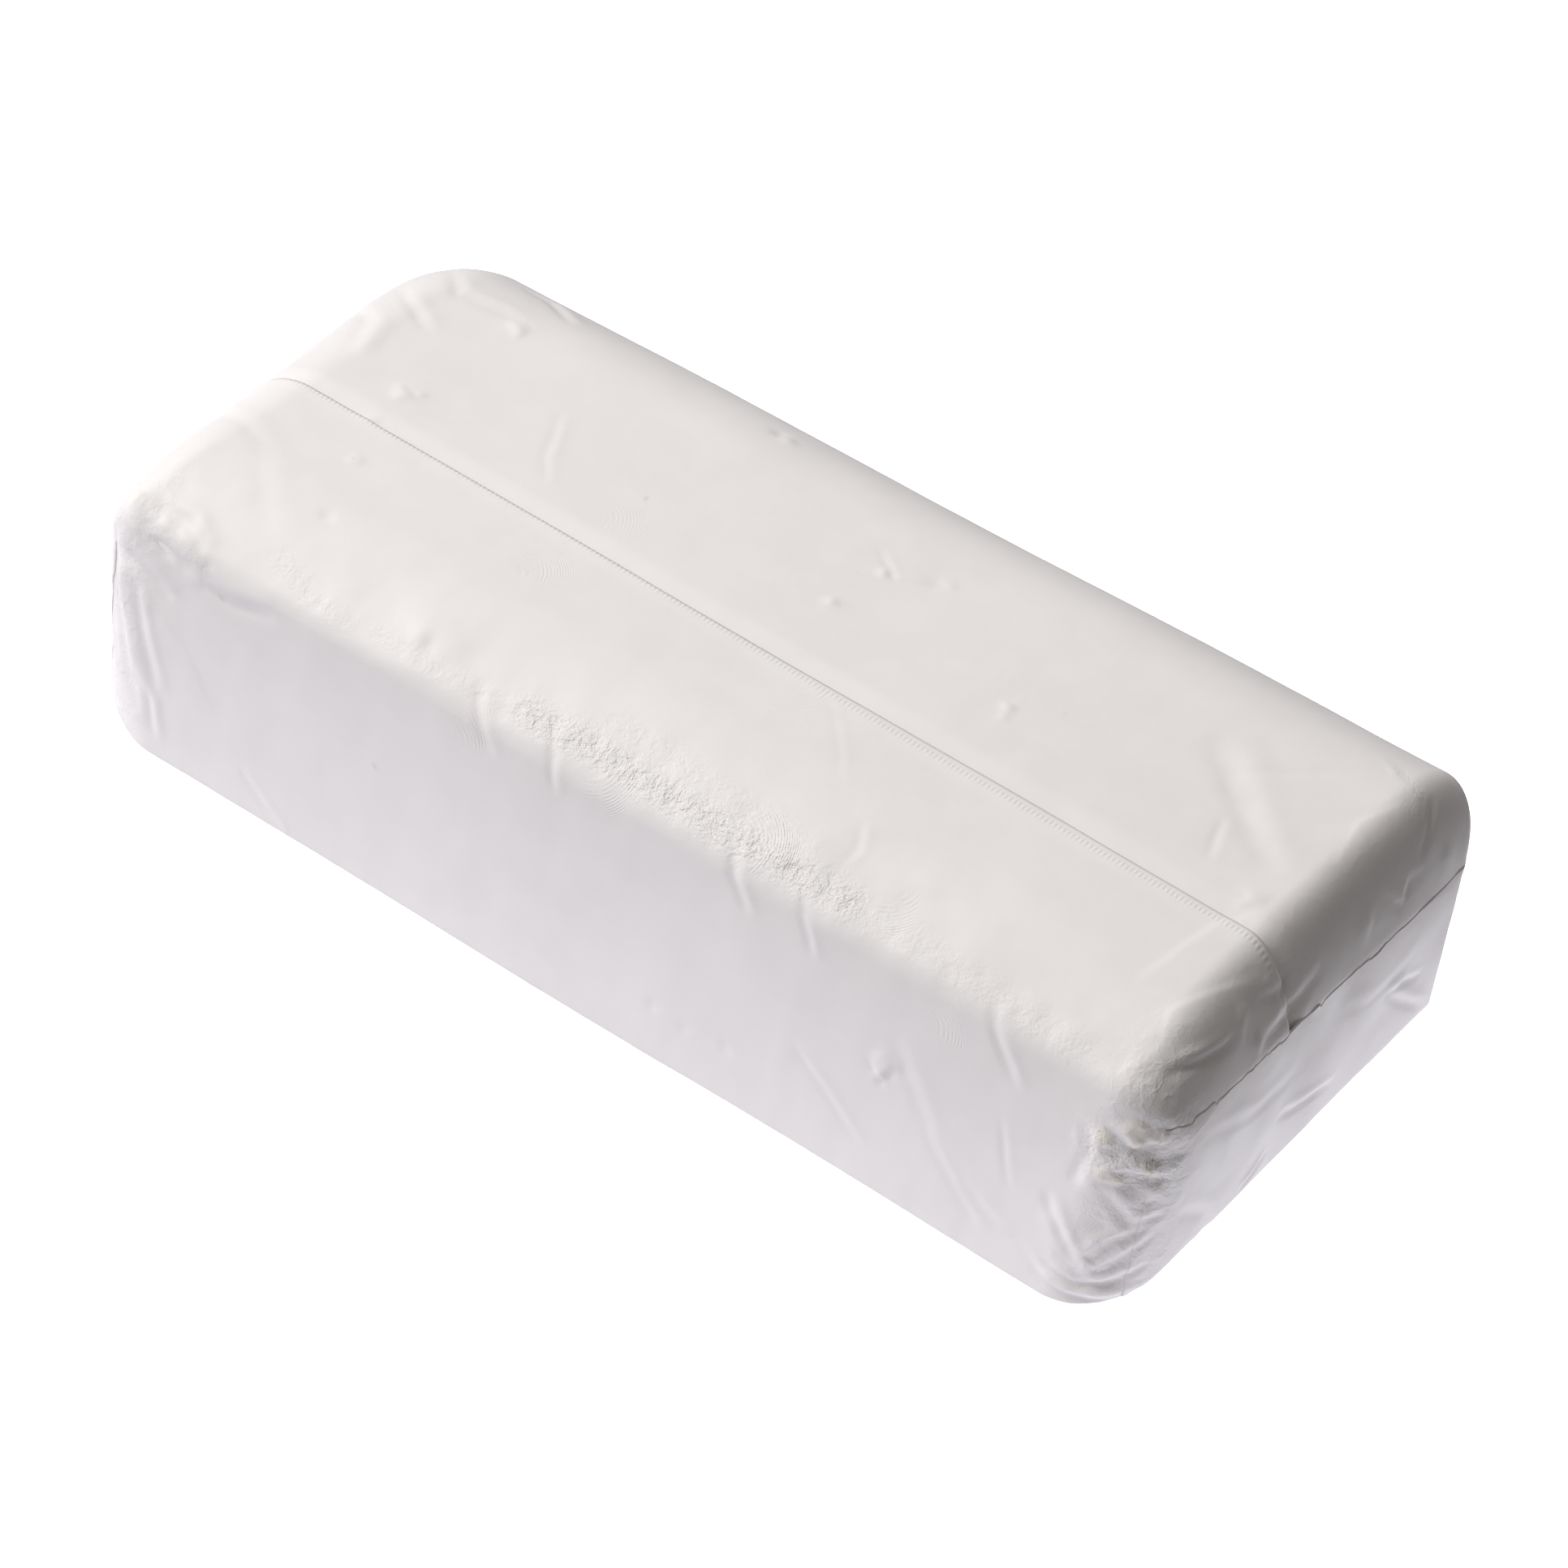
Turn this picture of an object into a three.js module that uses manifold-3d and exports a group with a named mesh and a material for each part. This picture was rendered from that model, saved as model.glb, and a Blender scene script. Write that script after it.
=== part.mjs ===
// A gymnastics chalk block in a close wrapper of thin matt film, in millimetres.
// Frame: x along the length, y across the width, z up, origin under the middle of the block on the floor.
// The wrapper is one sheet. It goes round the four long sides, laps on top, and is folded over each end.
// Each panel of an end fold is a mesh of its own, because each one turns about its own crease.
import * as THREE from "three";
import Module from "manifold-3d";
import { mergeVertices } from "three/addons/utils/BufferGeometryUtils.js";

const wasm = await Module();
wasm.setup();

// Overall size of the wrapped block.
const LENGTH = 160;
const WIDTH = 75;
const HEIGHT = 41;

// Rounding. The top is crowned: its long edges fall away over a wide ellipse.
const TOP_ROUND_Y = 16;
const TOP_ROUND_Z = 9.5;
const FOOT_ROUND = 2.5;
const END_ROUND_X = 8;
const CORNER_ROUND_Y = 9;
const END_TOP_DROP = 11.5;

// The film, drawn thicker than real film, and the clearance kept between two layers.
const FILM = 0.5;
const GAP = 0.3;
const LAYER = FILM + GAP;

// The lap on top: where the outer free edge lies, how far the inner layer goes on under it,
// and how wide the slope is where the inner layer climbs back to the surface.
const LAP_Y = -7;
const LAP_UNDER = 9;
const LAP_GAP = 0.4;
const LAP_SLOPE = 3.2;

// The rim round each end opening stops this many degrees into the end rounding.
const RIM_ANGLE = THREE.MathUtils.degToRad(78);
const RIM_STEPS = 6;

// End folds: half-thickness of a panel, and the sideways clearance from panel to panel.
const HALF_FILM = FILM / 2;
const FOLD_CLEARANCE = 0.35;
const LIP_DROP = 0.6;

const material = (color, roughness) => new THREE.MeshStandardMaterial({ color, roughness });
const group = new THREE.Group();

function addMesh(name, geometry, color, roughness) {
  const mesh = new THREE.Mesh(geometry, material(color, roughness));
  mesh.name = name;
  group.add(mesh);
}

// Section of the wrapped block, taken across the length. `shrink` is 0 along the body and grows to 1
// where the surface has turned all the way over on to the end face.
function sectionSize(shrink) {
  return {
    halfWidth: WIDTH / 2 - CORNER_ROUND_Y * shrink,
    top: HEIGHT - END_TOP_DROP * shrink,
    foot: FOOT_ROUND * shrink,
  };
}

// One corner of the section as points with outward normals, from angle a0 to a1 of its ellipse.
function cornerArc(cy, cz, ry, rz, a0, a1, steps) {
  const points = [];
  for (let i = 0; i <= steps; i++) {
    const a = a0 + ((a1 - a0) * i) / steps;
    const n = new THREE.Vector2(Math.cos(a) / ry, Math.sin(a) / rz).normalize();
    points.push({ y: cy + ry * Math.cos(a), z: cz + rz * Math.sin(a), ny: n.x, nz: n.y });
  }
  return points;
}

// The path of the sheet round the block, from the hidden inner edge of the lap, down the +y side,
// under the block, up the -y side and back to the visible edge of the lap. `depth` counts layers
// below the outer surface.
function sheetPath(shrink) {
  const { halfWidth, top, foot } = sectionSize(shrink);
  const ry = TOP_ROUND_Y * (1 - 0.25 * shrink);
  const rz = TOP_ROUND_Z * (1 - 0.25 * shrink);
  const rf = FOOT_ROUND;
  const flat = (y, depth) => ({ y, z: top, ny: 0, nz: 1, depth });
  const under = [
    flat(LAP_Y - LAP_UNDER, LAYER),
    flat(LAP_Y - LAP_UNDER / 2, LAYER),
    flat(LAP_Y + LAP_GAP, LAYER),
  ];
  const slope = [1, 2, 3].map((k) => {
    const s = k / 3;
    return flat(LAP_Y + LAP_GAP + LAP_SLOPE * s, LAYER * (1 - s * s * (3 - 2 * s)));
  });
  const half = Math.PI / 2;
  const down = [
    ...cornerArc(halfWidth - ry, top - rz, ry, rz, half, 0, 9),
    ...cornerArc(halfWidth - rf, foot + rf, rf, rf, 0, -half, 4),
  ];
  const up = [
    ...cornerArc(-halfWidth + rf, foot + rf, rf, rf, -half, -2 * half, 4),
    ...cornerArc(-halfWidth + ry, top - rz, ry, rz, -2 * half, -3 * half, 9),
  ];
  const sides = [...down, ...up].map((p) => ({ ...p, depth: 0 }));
  return [...under, ...slope, ...sides, flat(LAP_Y, 0)];
}

// Places a path point at a station along the block, `below` millimetres under its own layer.
function placed(point, x, side, angle, below) {
  const d = point.depth + below;
  return [
    x - side * d * Math.sin(angle),
    point.y - d * Math.cos(angle) * point.ny,
    point.z - d * Math.cos(angle) * point.nz,
  ];
}

// A sheet with thickness from two equal grids of points.
function thickSheet(outer, inner) {
  const rows = outer.length;
  const cols = outer[0].length;
  const vertices = [...outer.flat(), ...inner.flat()].flat();
  const o = (i, k) => i * cols + k;
  const n = (i, k) => rows * cols + i * cols + k;
  const index = [];
  const quad = (a, b, c, d) => index.push(a, b, c, a, c, d);
  for (let i = 0; i + 1 < rows; i++) {
    for (let k = 0; k + 1 < cols; k++) {
      quad(o(i, k), o(i + 1, k), o(i + 1, k + 1), o(i, k + 1));
      quad(n(i, k), n(i, k + 1), n(i + 1, k + 1), n(i + 1, k));
    }
    quad(o(i, 0), n(i, 0), n(i + 1, 0), o(i + 1, 0));
    quad(o(i, cols - 1), o(i + 1, cols - 1), n(i + 1, cols - 1), n(i, cols - 1));
  }
  for (let k = 0; k + 1 < cols; k++) {
    quad(o(0, k), o(0, k + 1), n(0, k + 1), n(0, k));
    quad(o(rows - 1, k), n(rows - 1, k), n(rows - 1, k + 1), o(rows - 1, k + 1));
  }
  const geometry = new THREE.BufferGeometry();
  geometry.setAttribute("position", new THREE.Float32BufferAttribute(vertices, 3));
  geometry.setIndex(index);
  return geometry;
}

// Stations along the block: rounded over at each end, straight between.
function stations() {
  const list = [];
  for (let i = RIM_STEPS; i >= 0; i--) {
    list.push({ side: -1, angle: (RIM_ANGLE * i) / RIM_STEPS });
  }
  for (let i = 0; i <= RIM_STEPS; i++) {
    list.push({ side: 1, angle: (RIM_ANGLE * i) / RIM_STEPS });
  }
  return list.map((s) => ({
    ...s,
    x: s.side * (LENGTH / 2 - END_ROUND_X * (1 - Math.sin(s.angle))),
    shrink: 1 - Math.cos(s.angle),
  }));
}

function sleeveGeometry() {
  const outer = [];
  const inner = [];
  for (const s of stations()) {
    const path = sheetPath(s.shrink);
    outer.push(path.map((p) => placed(p, s.x, s.side, s.angle, 0)));
    inner.push(path.map((p) => placed(p, s.x, s.side, s.angle, FILM)));
  }
  return thickSheet(outer, inner);
}

function toSolid(geometry) {
  const g = geometry.clone();
  g.deleteAttribute("normal");
  g.deleteAttribute("uv");
  const merged = mergeVertices(g, 1e-3);
  return new wasm.Manifold(
    new wasm.Mesh({
      numProp: 3,
      vertProperties: merged.attributes.position.array,
      triVerts: new Uint32Array(merged.index.array),
    }),
  );
}

function toGeometry(solid) {
  const mesh = solid.getMesh();
  const geometry = new THREE.BufferGeometry();
  geometry.setAttribute("position", new THREE.BufferAttribute(mesh.vertProperties, 3));
  geometry.setIndex(new THREE.BufferAttribute(mesh.triVerts, 1));
  return geometry;
}

// The space the inner layer of the lap takes up along the top, following the rounding at each end.
function channelGeometry() {
  const ys = [
    LAP_Y - LAP_UNDER - GAP,
    LAP_Y - LAP_UNDER / 2,
    LAP_Y + LAP_GAP,
    LAP_Y + LAP_GAP + LAP_SLOPE + GAP,
  ];
  const over = [];
  const floor = [];
  for (const s of stations()) {
    const path = ys.map((y) => ({ y, z: sectionSize(s.shrink).top, ny: 0, nz: 1, depth: LAYER }));
    over.push(path.map((p) => placed(p, s.x, s.side, s.angle, -3 * LAYER)));
    floor.push(path.map((p) => placed(p, s.x, s.side, s.angle, LAYER)));
  }
  return thickSheet(over, floor);
}

// The chalk: the rounded form one film and one gap inside the wrapper. Its ends are cut flat to leave
// room for the folded panels, and the lap has pressed a shallow channel along its top.
function chalkGeometry() {
  const points = [];
  for (const s of stations()) {
    for (const p of sheetPath(s.shrink)) {
      points.push(placed({ ...p, depth: 0 }, s.x, s.side, s.angle, LAYER));
    }
  }
  const form = wasm.Manifold.hull(points);
  const endFace = LENGTH / 2 - 3 * LAYER - GAP;
  const trimmed = form.intersect(
    wasm.Manifold.cube([2 * endFace, WIDTH, 3 * HEIGHT], true),
  );
  const channel = toSolid(channelGeometry());
  return toGeometry(trimmed.subtract(channel));
}

// The clear opening inside the rim of an end: its extents, and its outline with rounded corners.
const RIM_SHRINK = 1 - Math.cos(RIM_ANGLE);
const rim = sectionSize(RIM_SHRINK);
const OPENING = {
  y: rim.halfWidth - FOLD_CLEARANCE,
  foot: rim.foot + FOLD_CLEARANCE,
  top: rim.top - FOLD_CLEARANCE,
};
const OPEN_HEIGHT = OPENING.top - OPENING.foot;

function openingSection() {
  const inset = FOLD_CLEARANCE + FILM * Math.cos(RIM_ANGLE);
  const rounded = sheetPath(RIM_SHRINK).slice(6, -1);
  const loop = rounded.map((p) => [p.y - inset * p.ny, p.z - inset * p.nz]);
  return new wasm.CrossSection([loop.reverse()]);
}

// A flat panel standing across the block: an outline (y, z) kept inside the opening, its middle plane
// `depth` in from the end.
function panelGeometry(outline, side, depth) {
  const ring = THREE.ShapeUtils.isClockWise(outline.map(([y, z]) => new THREE.Vector2(y, z)))
    ? [...outline].reverse()
    : outline;
  const section = new wasm.CrossSection([ring]).intersect(openingSection());
  const geometry = toGeometry(section.extrude(FILM));
  geometry.translate(0, 0, -HALF_FILM);
  geometry.rotateX(Math.PI / 2);
  geometry.rotateZ(Math.PI / 2);
  geometry.translate(side * (LENGTH / 2 - depth), 0, 0);
  return geometry;
}

// The last panel folded up: hinged along the foot, its free edge is the wavy lip under the top edge.
function outerFlapOutline() {
  const lipZ = OPENING.top - LIP_DROP;
  const waves = 24;
  const lip = [];
  for (let i = 0; i <= waves; i++) {
    const y = OPENING.y * (1 - (2 * i) / waves);
    lip.push([y, lipZ - 0.35 * Math.sin(1.9 * i) - 0.25 * Math.sin(0.7 * i + 1)]);
  }
  return [[-OPENING.y, OPENING.foot], [OPENING.y, OPENING.foot], ...lip];
}

// The straight runs of the opening's outline, clear of its rounded corners: a crease can lie only there.
const CREASE_TOP_Y = rim.halfWidth - TOP_ROUND_Y * (1 - 0.25 * RIM_SHRINK) - FOLD_CLEARANCE;
const CREASE_LOW_Z = rim.foot + FOOT_ROUND + FOLD_CLEARANCE;
const CREASE_HIGH_Z = rim.top - TOP_ROUND_Z * (1 - 0.25 * RIM_SHRINK) - FOLD_CLEARANCE;

// The panel folded down before it: hinged along the top, ending just above the middle of the end.
function innerFlapOutline() {
  const free = OPENING.top - OPEN_HEIGHT * 0.46;
  const taper = 2.5;
  return [
    [-CREASE_TOP_Y, OPENING.top],
    [-CREASE_TOP_Y + taper, free],
    [CREASE_TOP_Y - taper, free],
    [CREASE_TOP_Y, OPENING.top],
  ];
}

// The corner tucks folded in first: hinged on an upright crease at each side. Above and below they are
// cut back at 45 degrees, so they never reach past the creases of the other two panels.
function tuckOutline(hand) {
  const y = hand * OPENING.y;
  const margin = 1.2;
  const reach = 11.5;
  const low = OPENING.foot + margin;
  const high = OPENING.top - margin;
  const lowReach = CREASE_LOW_Z - low;
  const highReach = high - CREASE_HIGH_Z;
  return [
    [y, CREASE_LOW_Z],
    [y - hand * lowReach, CREASE_LOW_Z],
    [y - hand * reach, low + reach],
    [y - hand * reach, high - reach],
    [y - hand * highReach, CREASE_HIGH_Z],
    [y, CREASE_HIGH_Z],
  ];
}

addMesh("chalk_block", chalkGeometry(), 0xf2f0ec, 0.95);
addMesh("film_sleeve", toGeometry(toSolid(sleeveGeometry())), 0xe9e7e6, 0.6);

for (const [end, side] of [["right", 1], ["left", -1]]) {
  const add = (name, outline, layer) =>
    addMesh(`${end}_${name}`, panelGeometry(outline, side, HALF_FILM + layer * LAYER), 0xe6e4e6, 0.6);
  add("outer_flap", outerFlapOutline(), 0);
  add("inner_flap", innerFlapOutline(), 1);
  add("front_tuck", tuckOutline(-1), 2);
  add("back_tuck", tuckOutline(1), 2);
}

export default group;
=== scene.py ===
import itertools
import math

import bpy
import numpy as np
from mathutils import Matrix, Vector
from mathutils.bvhtree import BVHTree


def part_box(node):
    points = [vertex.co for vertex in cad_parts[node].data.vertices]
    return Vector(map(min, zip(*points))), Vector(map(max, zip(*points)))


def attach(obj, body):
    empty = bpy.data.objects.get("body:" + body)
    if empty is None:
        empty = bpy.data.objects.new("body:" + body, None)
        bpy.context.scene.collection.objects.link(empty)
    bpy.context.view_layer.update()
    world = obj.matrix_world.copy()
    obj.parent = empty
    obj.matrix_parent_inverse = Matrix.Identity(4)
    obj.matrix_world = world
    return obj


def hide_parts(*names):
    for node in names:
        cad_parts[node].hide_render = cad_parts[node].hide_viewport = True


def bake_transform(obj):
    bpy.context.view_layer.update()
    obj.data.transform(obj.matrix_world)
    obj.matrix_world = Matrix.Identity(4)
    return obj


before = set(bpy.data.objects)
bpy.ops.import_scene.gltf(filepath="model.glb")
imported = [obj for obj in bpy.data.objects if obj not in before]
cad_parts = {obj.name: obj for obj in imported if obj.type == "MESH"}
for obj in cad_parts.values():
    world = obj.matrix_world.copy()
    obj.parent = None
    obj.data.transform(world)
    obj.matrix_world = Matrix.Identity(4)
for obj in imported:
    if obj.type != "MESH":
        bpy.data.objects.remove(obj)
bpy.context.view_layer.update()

# Units. Shapes are worked out in millimetres and turned into metres when a mesh is made.
MM = 0.001

# Overall size of the wrapped block.
SLEEVE_LOW, SLEEVE_HIGH = (np.array(corner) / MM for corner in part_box("film_sleeve"))
FLAP_HIGH = np.array(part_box("right_outer_flap")[1]) / MM
HALF_LENGTH = FLAP_HIGH[0]
HALF_WIDTH = SLEEVE_HIGH[1]
HEIGHT = SLEEVE_HIGH[2]

# The long edges. The top falls away in a gentle crown, then turns down over a tight corner; the foot
# is almost sharp.
CROWN_WIDTH = 16.0
CROWN_DROP = 5.0
CROWN_POWER = 2.4
CROWN_EDGE = 1.4
FOOT_ROUND = 0.6

# Rounding of the four upright corners seen from above: near the top, then near the foot.
CORNER_ROUND = {
    ("right", "front"): (8.2, 10.8),
    ("right", "back"): (8.0, 5.0),
    ("left", "front"): (5.0, 13.0),
    ("left", "back"): (10.5, 13.4),
}

# The rounding over the top of each end: how far in it starts, and how far down it comes at the front and
# at the back. Where it turns less than a quarter turn it meets the end in an edge. The foot lifts a little.
END_ROUND_X = {"right": 8.6, "left": 9.5}
END_DROP = {"right": (10.3, 13.2), "left": (13.0, 7.6)}
END_TURN = {"right": math.radians(50), "left": math.radians(90)}
END_LIFT = 6.0

# The block is not quite square: how far each corner stands from the true box,
# for (left or right, front or back, foot or top).
CORNER_OFFSET = {
    (0, 0, 0): (-0.3, 0.8, 0),
    (0, 0, 1): (0.1, 0, 0),
    (0, 1, 0): (-0.7, -0.4, 0),
    (0, 1, 1): (0.5, -0.5, -1.0),
    (1, 0, 0): (-0.1, -1.0, 0),
    (1, 0, 1): (0, 0.2, 0.2),
    (1, 1, 0): (-0.8, 1.0, 0),
    (1, 1, 1): (-0.2, 1.5, 1.6),
}

# The film's thickness, and the lap along the top: where its edge runs, how far it swings to each side and
# over what length, how far the other edge goes under it, the gap beside the edge, and the width and depth
# of the slope down to the layer below.
FILM = 0.25
LAP_Y = -8.6
LAP_SWING = 1.6
LAP_SWING_OVER = 35
LAP_UNDER = 9.0
LAP_GAP = 0.35
LAP_SLOPE = 3.3
LAP_DEPTH = 0.55

# Mesh spacing: fine where the surface is seen closest, coarser behind and below. A sheet's inner face has
# one quad for every four of its outer face, each way.
FINE = 0.46
MEDIUM = 0.7
COARSE = 1.1
INNER_SKIP = 4

# The end panels: how far the outer flap wraps round the corners, its lowest edge, its rows and columns and
# its height above the layer below; how far the panels under it stay back from the surface and their cells
# each way.
FLAP_WRAP = 2.4
FLAP_FOOT = 0.9
FLAP_ROWS = 88
FLAP_COLUMNS = 200
FLAP_LIFT = 0.08
UNDER_RIM = 0.75
PANEL_CELLS = 60

# How far the chalk stays inside the film.
CHALK_INSET = 0.6

# The rim of the sleeve turns right over on to each end and a little way in under the last panel:
# pairs of how far in and how far back.
RIM_ANGLE = math.radians(90)
RIM_TURN_IN = ((0.6, 0.03), (1.2, 0.08), (1.8, 0.15), (2.5, 0.26), (3.3, 0.38), (4.2, 0.44))


# ---------------------------------------------------------------- camera, light and floor

CAMERA_EYE = (312.8, -596.0, 588.8)
CAMERA_RIGHT = (0.8112, 0.5655, 0.1484)
CAMERA_UP = (-0.4672, 0.4745, 0.7459)
CAMERA_BACK = (0.3514, -0.6745, 0.6492)
CAMERA_LENS = 163.12
CAMERA_SENSOR = 36.0
CAMERA_CLIP = (0.01, 20)

# The soft main light: the way to it, then its distance and width in metres.
KEY_DIRECTION = (-0.58, -0.3, 0.76)
KEY_DISTANCE = 1.5
KEY_SIZE = 0.9
KEY_POWER = 22.6
KEY_COLOR = (1.0, 0.98, 0.975)

# The room is darker toward the right end, where less of the light comes from.
ROOM_DARK_SIDE = (0.78, -0.62, 0)
ROOM_BRIGHT = (0.2, (0.46, 0.445, 0.45, 1))
ROOM_DARK = (0.7, (0.17, 0.155, 0.144, 1))

# The floor: its half-width, the colour it glows in, how strongly, how much more beside the right end, and
# how much brighter it is when looked at.
FLOOR_HALF = 2.5
FLOOR_COLOR = (1.02, 1.0, 1.08, 1)
FLOOR_GLOW = 1.20
FLOOR_BESIDE = 0.46
FLOOR_SEEN = 1.3


def add_camera():
    data = bpy.data.cameras.new("main_camera")
    data.lens = CAMERA_LENS
    data.sensor_width = CAMERA_SENSOR
    data.clip_start, data.clip_end = CAMERA_CLIP
    camera = bpy.data.objects.new("main_camera", data)
    turn = Matrix((CAMERA_RIGHT, CAMERA_UP, CAMERA_BACK)).transposed()
    camera.matrix_world = Matrix.Translation(Vector(CAMERA_EYE) * MM) @ turn.to_4x4()
    bpy.context.scene.collection.objects.link(camera)
    bpy.context.scene.camera = camera


def add_key_light():
    data = bpy.data.lights.new("key_light", "AREA")
    data.shape = "DISK"
    data.size = KEY_SIZE
    data.energy = KEY_POWER
    data.color = KEY_COLOR
    light = bpy.data.objects.new("key_light", data)
    toward = Vector(KEY_DIRECTION).normalized()
    light.location = toward * KEY_DISTANCE
    light.rotation_euler = toward.to_track_quat("Z", "Y").to_euler()
    bpy.context.scene.collection.objects.link(light)


def add_world():
    """A soft room light that falls off toward one side. What lies behind the block shows plain white."""
    world = bpy.data.worlds.new("studio")
    bpy.context.scene.world = world
    world.use_nodes = True
    nodes, links = world.node_tree.nodes, world.node_tree.links
    nodes.clear()

    def node(kind):
        return nodes.new("ShaderNode" + kind)

    coords, lean, across = node("TexCoord"), node("VectorMath"), node("MapRange")
    lean.operation = "DOT_PRODUCT"
    lean.inputs[1].default_value = ROOM_DARK_SIDE
    across.inputs["From Min"].default_value = -1
    across.inputs["From Max"].default_value = 1
    ramp, dim, bright = node("ValToRGB"), node("Background"), node("Background")
    for element, (position, color) in zip(ramp.color_ramp.elements, (ROOM_BRIGHT, ROOM_DARK)):
        element.position = position
        element.color = color
    bright.inputs["Color"].default_value = (1, 1, 1, 1)
    seen, mix, out = node("LightPath"), node("MixShader"), node("OutputWorld")
    links.new(coords.outputs["Generated"], lean.inputs[0])
    links.new(lean.outputs["Value"], across.inputs["Value"])
    links.new(across.outputs["Result"], ramp.inputs["Fac"])
    links.new(ramp.outputs["Color"], dim.inputs["Color"])
    links.new(seen.outputs["Is Camera Ray"], mix.inputs["Fac"])
    links.new(dim.outputs[0], mix.inputs[1])
    links.new(bright.outputs[0], mix.inputs[2])
    links.new(mix.outputs[0], out.inputs["Surface"])


def add_floor():
    """A pale floor. It lights the block from below, most of all close in, and shows plain white."""
    mesh = bpy.data.meshes.new("floor")
    corners = [(a * FLOOR_HALF, b * FLOOR_HALF, 0) for a, b in ((-1, -1), (1, -1), (1, 1), (-1, 1))]
    mesh.from_pydata(corners, [], [(0, 1, 2, 3)])
    floor = bpy.data.objects.new("floor", mesh)
    bpy.context.scene.collection.objects.link(floor)
    g = Graph("pale_floor", emission=True)
    x, y, _ = g.node("SeparateXYZ", {0: g.place}).outputs
    left = g.spread(x, -0.34, -0.15)
    right = g.spread(x, 0.095, 0.15, 1.0, 0.0)
    front = g.spread(y, -0.24, -0.10)
    back = g.spread(y, 0.06, 0.20, 1.0, 0.0)
    pool = g.times(g.times(left, right), g.times(front, back))
    beside = g.spread(x, 0.07, 0.10, 0.0, FLOOR_BESIDE)
    glow = g.times(pool, g.math("ADD", beside, FLOOR_GLOW))
    seen = g.node("LightPath", {}).outputs["Is Camera Ray"]
    g.shader.inputs["Color"].default_value = FLOOR_COLOR
    g.set(g.shader.inputs["Strength"], g.math("ADD", glow, g.times(seen, FLOOR_SEEN)))
    mesh.materials.append(g.material)


# ---------------------------------------------------------------- materials


class Graph:
    """Short ways to add and join shader nodes in one material."""

    def __init__(self, name, emission=False):
        self.material = bpy.data.materials.new(name)
        self.material.use_nodes = True
        self.nodes = self.material.node_tree.nodes
        self.links = self.material.node_tree.links
        self.nodes.clear()
        kind = "ShaderNodeEmission" if emission else "ShaderNodeBsdfPrincipled"
        self.shader = self.nodes.new(kind)
        out = self.nodes.new("ShaderNodeOutputMaterial")
        self.links.new(self.shader.outputs[0], out.inputs["Surface"])
        self.place = self.nodes.new("ShaderNodeTexCoord").outputs["Object"]

    def set(self, socket, value):
        if isinstance(value, bpy.types.NodeSocket):
            self.links.new(value, socket)
        else:
            socket.default_value = value

    def node(self, kind, inputs):
        node = self.nodes.new("ShaderNode" + kind)
        for key, value in inputs.items():
            self.set(node.inputs[key], value)
        return node

    def noise(self, size_mm, detail=2.0, rough=0.5):
        inputs = {"Vector": self.place, "Scale": 1 / (size_mm * MM), "Detail": detail, "Roughness": rough}
        return self.node("TexNoise", inputs).outputs["Fac"]

    def cells(self, size_mm):
        inputs = {"Vector": self.place, "Scale": 1 / (size_mm * MM)}
        return self.node("TexVoronoi", inputs).outputs["Distance"]

    def math(self, operation, a, b=0.0):
        node = self.node("Math", {0: a, 1: b})
        node.operation = operation
        return node.outputs[0]

    def times(self, a, b):
        return self.math("MULTIPLY", a, b)

    def spread(self, value, low, high, to_low=0.0, to_high=1.0):
        """The value spread from one range over another, softly at both ends."""
        inputs = {"Value": value, "From Min": low, "From Max": high, "To Min": to_low, "To Max": to_high}
        node = self.node("MapRange", inputs)
        node.interpolation_type = "SMOOTHSTEP"
        return node.outputs["Result"]

    def blend(self, factor, a, b):
        node = self.node("Mix", {0: factor})
        node.data_type = "RGBA"
        self.set(node.inputs[6], a)
        self.set(node.inputs[7], b)
        return node.outputs[2]

    def attribute(self, name):
        node = self.node("Attribute", {})
        node.attribute_name = name
        return node.outputs["Fac"]

    def ridges_of(self, size_mm, detail, width):
        """Thin winding lines along the middle values of a noise, strongest where the film is crumpled."""
        off_middle = self.math("ABSOLUTE", self.math("SUBTRACT", self.noise(size_mm, detail, 0.5), 0.5))
        line = self.spread(off_middle, 0.0, width, 1.0, 0.0)
        return self.times(line, self.attribute("crumple"))

    def pits_of(self, size_mm, low, high, detail, where):
        pits = self.spread(self.noise(size_mm, detail, 0.6), low, high, 1.0, 0.0)
        return self.times(pits, where)

    def wave(self, phase, strength):
        """A sine wave of one attribute, as strong as another."""
        turned = self.times(self.attribute(phase), 2 * math.pi)
        return self.times(self.math("SINE", turned), self.attribute(strength))

    def bump(self, height, depth_mm, below=None):
        inputs = {"Distance": depth_mm * MM, "Height": height}
        if below is not None:
            inputs["Normal"] = below
        return self.node("Bump", inputs).outputs["Normal"]


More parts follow.
